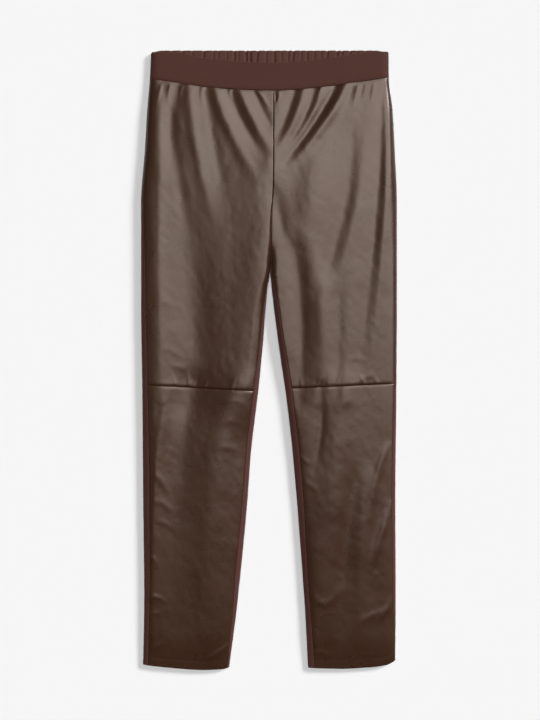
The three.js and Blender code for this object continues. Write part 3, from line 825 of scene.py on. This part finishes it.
def add(tree, kind, settings=None, inputs=None):
    """A node with its settings, and its inputs as values or as other nodes' outputs."""
    node = tree.nodes.new(kind)
    for name, value in (settings or {}).items():
        setattr(node, name, value)
    for name, value in (inputs or {}).items():
        if isinstance(value, bpy.types.NodeSocket):
            tree.links.new(value, node.inputs[name])
        else:
            node.inputs[name].default_value = value
    return node


def stitch_line(leg):
    """Points round a leg on the cloth, a hem's depth above its edge."""
    place = np.linspace(0, 6, 361)[:-1]
    y = HEM + HEM_DEPTH + 0 * place
    for _ in range(5):
        y = leg.hem(tube_section(leg, y, place)[0]) + HEM_DEPTH
    x, z, felt = tube_section(leg, y, place)
    return np.stack([x, y, z + leg_relief(leg)(x, y, place, felt)], axis=-1)


def stitch_tree(thread):
    """Lays rounded stitches end to end along a line."""
    tree = bpy.data.node_groups.new("stitches", "GeometryNodeTree")
    tree.interface.new_socket("Line", in_out="INPUT", socket_type="NodeSocketGeometry")
    for name in ("Stitch length", "Thread width", "Unevenness"):
        tree.interface.new_socket(name, in_out="INPUT", socket_type="NodeSocketFloat")
    tree.interface.new_socket("Seed", in_out="INPUT", socket_type="NodeSocketInt")
    tree.interface.new_socket("Stitches", in_out="OUTPUT", socket_type="NodeSocketGeometry")
    given = add(tree, "NodeGroupInput").outputs
    line = add(tree, "GeometryNodeMeshToCurve", None, {"Mesh": given["Line"]})
    spots = add(
        tree,
        "GeometryNodeResampleCurve",
        {"mode": "LENGTH"},
        {"Curve": line.outputs["Curve"], "Length": given["Stitch length"]},
    )
    bead = add(
        tree,
        "GeometryNodeMeshUVSphere",
        None,
        {"Segments": 8, "Rings": 5, "Radius": 0.5},
    )
    rounded = add(tree, "GeometryNodeSetShadeSmooth", None, {"Geometry": bead.outputs["Mesh"]})
    length = add(
        tree,
        "ShaderNodeMath",
        {"operation": "MULTIPLY"},
        {0: given["Stitch length"], 1: STITCH_SHARE},
    )
    size = add(
        tree,
        "ShaderNodeCombineXYZ",
        None,
        {"X": length.outputs[0], "Y": given["Thread width"], "Z": given["Thread width"]},
    )
    spread = {0: 1.0, 1: given["Unevenness"]}
    least = add(tree, "ShaderNodeMath", {"operation": "SUBTRACT"}, spread)
    most = add(tree, "ShaderNodeMath", {"operation": "ADD"}, spread)
    varied = add(tree, "FunctionNodeRandomValue", {"data_type": "FLOAT"}, {"Seed": given["Seed"]})
    tree.links.new(least.outputs[0], varied.inputs[2])
    tree.links.new(most.outputs[0], varied.inputs[3])
    scale = add(tree, "ShaderNodeVectorMath", {"operation": "SCALE"}, {0: size.outputs[0]})
    tree.links.new(varied.outputs[1], scale.inputs["Scale"])
    along = add(tree, "GeometryNodeInputTangent")
    turn = add(
        tree,
        "FunctionNodeAlignRotationToVector",
        {"axis": "X"},
        {"Vector": along.outputs[0]},
    )
    laid = add(
        tree,
        "GeometryNodeInstanceOnPoints",
        None,
        {
            "Points": spots.outputs["Curve"],
            "Instance": rounded.outputs["Geometry"],
            "Rotation": turn.outputs["Rotation"],
            "Scale": scale.outputs["Vector"],
        },
    )
    real = add(tree, "GeometryNodeRealizeInstances", None, {"Geometry": laid.outputs["Instances"]})
    finished = add(
        tree,
        "GeometryNodeSetMaterial",
        None,
        {"Geometry": real.outputs["Geometry"], "Material": thread},
    )
    add(tree, "NodeGroupOutput", None, {"Stitches": finished.outputs["Geometry"]})
    return tree


def hem_stitches(leg, tree, seed):
    """A row of stitches round a hem, pressed a little into the cloth."""
    points = stitch_line(leg)
    sizes = {
        "Stitch length": STITCH_LENGTH * MM,
        "Thread width": THREAD * MM,
        "Unevenness": 0.08,
        "Seed": seed,
    }
    index = np.arange(len(points))
    steps = np.stack([index, np.roll(index, -1)], 1)
    line = bpy.data.meshes.new(f"hem_line_{leg.name}")
    line.from_pydata((points * MM).tolist(), steps.tolist(), [])
    piece = bpy.data.objects.new(f"hem_stitches_{leg.name}", line)
    bpy.context.scene.collection.objects.link(piece)
    maker = piece.modifiers.new("stitches", "NODES")
    maker.node_group = tree
    for socket in tree.interface.items_tree:
        if socket.name in sizes:
            maker[socket.identifier] = sizes[socket.name]
    laid = piece.evaluated_get(bpy.context.evaluated_depsgraph_get())
    mesh = bpy.data.meshes.new_from_object(laid)
    piece.modifiers.clear()
    piece.data = mesh
    return piece


# Materials

WAVE_PERIOD = 0.314  # from band to band of the wave texture at a scale of 1


def colour(hex_code):
    """Linear colour of an sRGB hex value."""
    srgb = np.array([int(hex_code[i : i + 2], 16) for i in (1, 3, 5)]) / 255
    linear = np.where(srgb <= 0.04045, srgb / 12.92, ((srgb + 0.055) / 1.055) ** 2.4)
    return (*linear.tolist(), 1)


def new_material(name):
    material = bpy.data.materials.new(name)
    material.use_nodes = True
    tree = material.node_tree
    tree.nodes.clear()
    return material, tree


def finish_material(tree, shader):
    add(tree, "ShaderNodeOutputMaterial", None, {"Surface": shader.outputs["BSDF"]})


def faux_leather():
    """Polyurethane film on a knit: an even dark film, embossed with a fine pebbled grain, whose
    soft gloss spreads wide grey highlights over the folds. The real grain is about half a
    millimetre, too fine to show, so it is drawn three times as coarse."""
    material, tree = new_material("pu_coated_faux_leather")
    place = add(tree, "ShaderNodeTexCoord").outputs["Object"]
    grain_size = 1.6 * MM
    pebbles = add(
        tree,
        "ShaderNodeTexVoronoi",
        {"feature": "SMOOTH_F1"},
        {"Vector": place, "Scale": 1 / grain_size, "Smoothness": 0.6, "Randomness": 0.9},
    )
    peel_size = 7 * MM
    peel = add(
        tree,
        "ShaderNodeTexNoise",
        None,
        {"Vector": place, "Scale": 1 / peel_size, "Detail": 2.0, "Roughness": 0.5},
    )
    wear_size = 70 * MM
    wear = add(
        tree,
        "ShaderNodeTexNoise",
        None,
        {"Vector": place, "Scale": 1 / wear_size, "Detail": 4.0, "Roughness": 0.6},
    )
    film = add(
        tree,
        "ShaderNodeMix",
        {"data_type": "RGBA"},
        {"Factor": wear.outputs["Fac"]},
    )
    film.inputs[6].default_value = colour("#321d11")
    film.inputs[7].default_value = colour("#3a2416")
    gloss = add(
        tree,
        "ShaderNodeMapRange",
        None,
        {
            "Value": wear.outputs["Fac"],
            "From Min": 0.35,
            "From Max": 0.65,
            "To Min": 0.26,
            "To Max": 0.31,
        },
    )
    coarse = add(
        tree,
        "ShaderNodeBump",
        None,
        {"Strength": 0.22, "Distance": 0.4 * MM, "Height": peel.outputs["Fac"]},
    )
    fine = add(
        tree,
        "ShaderNodeBump",
        None,
        {
            "Strength": 0.25,
            "Distance": 0.12 * MM,
            "Height": pebbles.outputs["Distance"],
            "Normal": coarse.outputs["Normal"],
        },
    )
    shader = add(
        tree,
        "ShaderNodeBsdfPrincipled",
        None,
        {
            "Base Color": film.outputs[2],
            "Roughness": gloss.outputs["Result"],
            "IOR": 1.5,
            "Specular Tint": colour("#fff6ef"),
            "Normal": fine.outputs["Normal"],
        },
    )
    finish_material(tree, shader)
    return material


def knit(name, dark, light, rib_size):
    """Double-knit jersey of viscose and nylon: matt and dense, with fine upright ribs and a soft
    bloom where it turns away. Real ribs are about 0.8 mm, and are drawn wider so that they show."""
    material, tree = new_material(name)
    place = add(tree, "ShaderNodeTexCoord").outputs["UV"]
    ribs = add(
        tree,
        "ShaderNodeTexWave",
        {"wave_type": "BANDS", "bands_direction": "X", "wave_profile": "SIN"},
        {"Vector": place, "Scale": WAVE_PERIOD / rib_size, "Distortion": 0.6, "Detail": 2.0},
    )
    heather = add(
        tree,
        "ShaderNodeTexNoise",
        None,
        {"Vector": place, "Scale": 1 / (2.5 * MM), "Detail": 3.0, "Roughness": 0.65},
    )
    yarn = add(tree, "ShaderNodeMix", {"data_type": "RGBA"}, {"Factor": heather.outputs["Fac"]})
    yarn.inputs[6].default_value = colour(dark)
    yarn.inputs[7].default_value = colour(light)
    loops = add(
        tree,
        "ShaderNodeBump",
        None,
        {"Strength": 0.5, "Distance": 0.25 * MM, "Height": ribs.outputs["Fac"]},
    )
    fuzz = add(
        tree,
        "ShaderNodeBump",
        None,
        {
            "Strength": 0.4,
            "Distance": 0.2 * MM,
            "Height": heather.outputs["Fac"],
            "Normal": loops.outputs["Normal"],
        },
    )
    shader = add(
        tree,
        "ShaderNodeBsdfPrincipled",
        None,
        {
            "Base Color": yarn.outputs[2],
            "Roughness": 0.85,
            "Specular IOR Level": 0.2,
            "Sheen Weight": 0.05,
            "Sheen Roughness": 0.5,
            "Normal": fuzz.outputs["Normal"],
        },
    )
    finish_material(tree, shader)
    return material


def plain_thread():
    """Spun polyester sewing thread: fine, round and slightly glossy."""
    material, tree = new_material("polyester_thread")
    shader = add(
        tree,
        "ShaderNodeBsdfPrincipled",
        None,
        {"Base Color": colour("#2a1b14"), "Roughness": 0.55},
    )
    finish_material(tree, shader)
    return material


leather = faux_leather()
jersey = knit("ponte_jersey", "#452620", "#53302a", 1.8 * MM)
band_jersey = knit("ponte_waistband", "#40231b", "#4c2a23", 1.8 * MM)
band_inside = knit("ponte_waistband_inside", "#472a22", "#533129", 1.8 * MM)
backing = knit("knitted_backing", "#3d2c24", "#4a372d", 1.5 * MM)
thread = plain_thread()


# Making the garment

pieces = {}
for leg in (left_leg, right_leg):
    pieces[f"front_upper_{leg.name}"] = front_upper(leg, [leather, backing])
    pieces[f"front_lower_{leg.name}"] = front_lower(leg, [leather, backing])
    pieces[f"back_{leg.name}"] = back(leg, [jersey, jersey])
pieces["waistband_front"] = front_band([band_jersey, band_jersey])
pieces["waistband_back"] = back_band([band_jersey, band_inside])

stitching = stitch_tree(thread)
stitches = {
    "back_left": hem_stitches(left_leg, stitching, 4),
    "back_right": hem_stitches(right_leg, stitching, 9),
}
for piece in stitches.values():
    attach(piece, "root")

# Each piece goes under the root, and the imported part of the same node is hidden
for node, piece in pieces.items():
    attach(piece, "root")
    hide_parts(node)


# Setting

FLOOR_REACH = 40
FLOOR_LEVEL = -0.3 * MM  # just under the cloth
floor_mesh = bpy.data.meshes.new("floor")
corners = [(-1, -1), (1, -1), (1, 1), (-1, 1)]
floor_mesh.from_pydata(
    [(FLOOR_REACH * x, FLOOR_REACH * y, FLOOR_LEVEL) for x, y in corners], [], [(0, 1, 2, 3)]
)
floor = bpy.data.objects.new("floor", floor_mesh)
bpy.context.scene.collection.objects.link(floor)
floor_material, floor_tree = new_material("matt_white_table")
finish_material(
    floor_tree,
    add(
        floor_tree,
        "ShaderNodeBsdfPrincipled",
        None,
        {"Base Color": colour("#f4f4f4"), "Roughness": 1.0, "Specular IOR Level": 0.0},
    ),
)
floor_mesh.materials.append(floor_material)


def aim(item, target):
    """Turns a lamp or camera to look at a point."""
    away = np.array(item.location) - np.array(target)
    item.rotation_euler = Vector(away).to_track_quat("Z", "Y").to_euler()


def lamp(name, kind, location, target, settings):
    light = bpy.data.lights.new(name, kind)
    for setting, value in settings.items():
        setattr(light, setting, value)
    item = bpy.data.objects.new(name, light)
    item.location = location
    bpy.context.scene.collection.objects.link(item)
    aim(item, target)
    return item


def soft_sun(name, direction, irradiance, spread_degrees):
    """An even light with soft shadows."""
    settings = {"energy": irradiance, "angle": np.radians(spread_degrees)}
    return lamp(name, "SUN", direction, (0, 0, 0), settings)


def softbox(name, low, high, height, brightness, tint="#ffffff"):
    """A level soft panel from one corner to the other, seen only in the gloss of the cloth."""
    width, length = high[0] - low[0], high[1] - low[1]
    settings = {
        "shape": "RECTANGLE",
        "size": width,
        "size_y": length,
        "energy": brightness * np.pi * width * length,
        "color": colour(tint)[:3],
    }
    place = ((low[0] + high[0]) / 2, (low[1] + high[1]) / 2, height)
    item = lamp(name, "AREA", place, (place[0], place[1], 0), settings)
    item.visible_diffuse = False
    item.visible_camera = False
    return item


# The key light stands low to the upper right, so the shadows fall to the lower left
soft_sun("key_light", direction=(0.76, 0.47, 0.49), irradiance=2.58, spread_degrees=15)
overhead = soft_sun("overhead_light", direction=(0.0, 0.1, 2), irradiance=1.88, spread_degrees=30)
overhead.visible_glossy = False
# Panels one over another, so that the gloss fades out to the left and towards the hems
PANELS_END = (4.5, 3)
softbox("waist_panel", (0.0, 0.32), PANELS_END, height=2.2, brightness=1.95)
softbox("middle_panel", (-0.22, -0.21), PANELS_END, height=2.3, brightness=1.6)
softbox("wide_panel", (-0.75, -0.37), PANELS_END, height=2.4, brightness=1.15, tint="#fff1e4")
softbox("left_wall", (-3.5, -0.6), (-0.75, 3), height=2.2, brightness=0.15)

world = bpy.data.worlds.new("studio")
world.use_nodes = True
room = world.node_tree.nodes["Background"]
room.inputs["Color"].default_value = colour("#f2f2f2")
room.inputs["Strength"].default_value = 0.03
bpy.context.scene.world = world
bpy.context.scene.view_settings.view_transform = "Standard"

# The camera looks straight down; the picture is 720 pixels high, and its scale holds at the
# middle height of the cloth
MM_PER_PIXEL = 1.62
PICTURE_HEIGHT = 720
CAMERA_HEIGHT = 3.2
MIDDLE_HEIGHT = 9 * MM
SENSOR = 36
lens = bpy.data.cameras.new("camera")
lens.sensor_width = SENSOR
lens.lens = SENSOR * (CAMERA_HEIGHT - MIDDLE_HEIGHT) / (PICTURE_HEIGHT * MM_PER_PIXEL * MM)
camera = bpy.data.objects.new("camera", lens)
camera.location = (MM_PER_PIXEL * MM, 0, CAMERA_HEIGHT)
bpy.context.scene.collection.objects.link(camera)
bpy.context.scene.camera = camera
